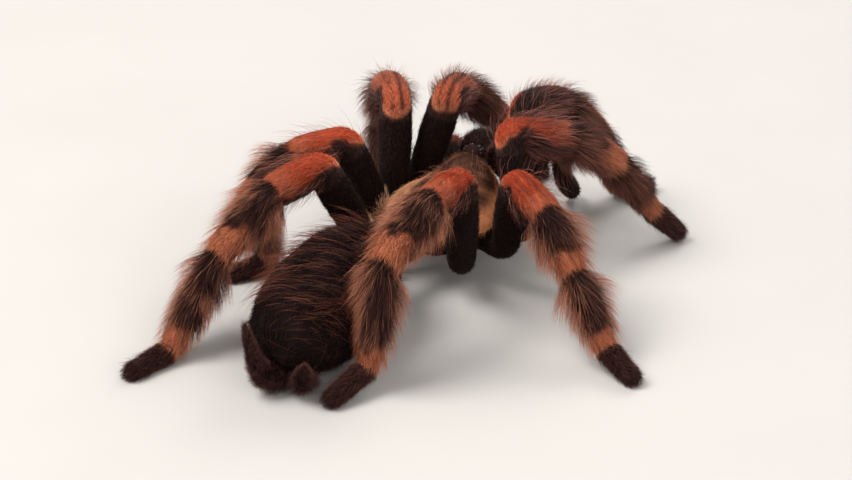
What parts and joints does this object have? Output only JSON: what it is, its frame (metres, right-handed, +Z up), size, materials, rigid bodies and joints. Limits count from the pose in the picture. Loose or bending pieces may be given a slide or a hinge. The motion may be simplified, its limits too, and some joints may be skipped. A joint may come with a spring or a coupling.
{
  "type": "tarantula",
  "caption": "Life-size model of a standing red-kneed tarantula with dark velvet legs, orange knee bands and a long-haired dark abdomen.",
  "frame": {"origin": "middle of the foot of the model's box, on the floor", "axes": "+Y the way the spider faces, +X its right side, +Z up; front view is seen from +Y"},
  "size_m": [0.0722, 0.0976, 0.0268],
  "materials": {
    "carapace": "short brown felt of hair over a dark shield, tan hairs along its edge",
    "velvet": "dense matt black-brown velvet of short hair",
    "orange": "short dense orange-red fur lying toward the foot",
    "banded": "black-brown fur with long pinkish-brown hairs and a pale orange band at the far end",
    "foot": "short dense dark fur with a pad of finer hair under it",
    "abdomen": "black velvet with sparse long reddish-orange hairs swept back",
    "fang": "smooth dark horn, glossy",
    "eye": "glossy black domes"
  },
  "bodies": {
    "root": {"abdomen": "abdomen", "carapace": "carapace", "cheliceraL": "carapace", "cheliceraR": "carapace", "eye_mound": "carapace", "fangL": "fang", "fangR": "fang", "leg1L_femur": "velvet", "leg1L_metatarsus": "banded", "leg1L_patella": "orange", "leg1L_tarsus": "foot", "leg1L_tibia": "banded", "leg1R_femur": "velvet", "leg1R_metatarsus": "banded", "leg1R_patella": "orange", "leg1R_tarsus": "foot", "leg1R_tibia": "banded", "leg2L_femur": "velvet", "leg2L_metatarsus": "banded", "leg2L_patella": "orange", "leg2L_tarsus": "foot", "leg2L_tibia": "banded", "leg2R_femur": "velvet", "leg2R_metatarsus": "banded", "leg2R_patella": "orange", "leg2R_tarsus": "foot", "leg2R_tibia": "banded", "leg3L_femur": "velvet", "leg3L_metatarsus": "banded", "leg3L_patella": "orange", "leg3L_tarsus": "foot", "leg3L_tibia": "banded", "leg3R_femur": "velvet", "leg3R_metatarsus": "banded", "leg3R_patella": "orange", "leg3R_tarsus": "foot", "leg3R_tibia": "banded", "leg4L_femur": "velvet", "leg4L_metatarsus": "banded", "leg4L_patella": "orange", "leg4L_tarsus": "foot", "leg4L_tibia": "banded", "leg4R_femur": "velvet", "leg4R_metatarsus": "banded", "leg4R_patella": "orange", "leg4R_tarsus": "foot", "leg4R_tibia": "banded", "palpL_femur": "velvet", "palpL_patella": "orange", "palpL_tarsus": "foot", "palpL_tibia": "banded", "palpR_femur": "velvet", "palpR_patella": "orange", "palpR_tarsus": "foot", "palpR_tibia": "banded", "spinneretL": "abdomen", "spinneretR": "abdomen", "underside": "velvet", "waist": "velvet"}
  },
  "joints": []
}
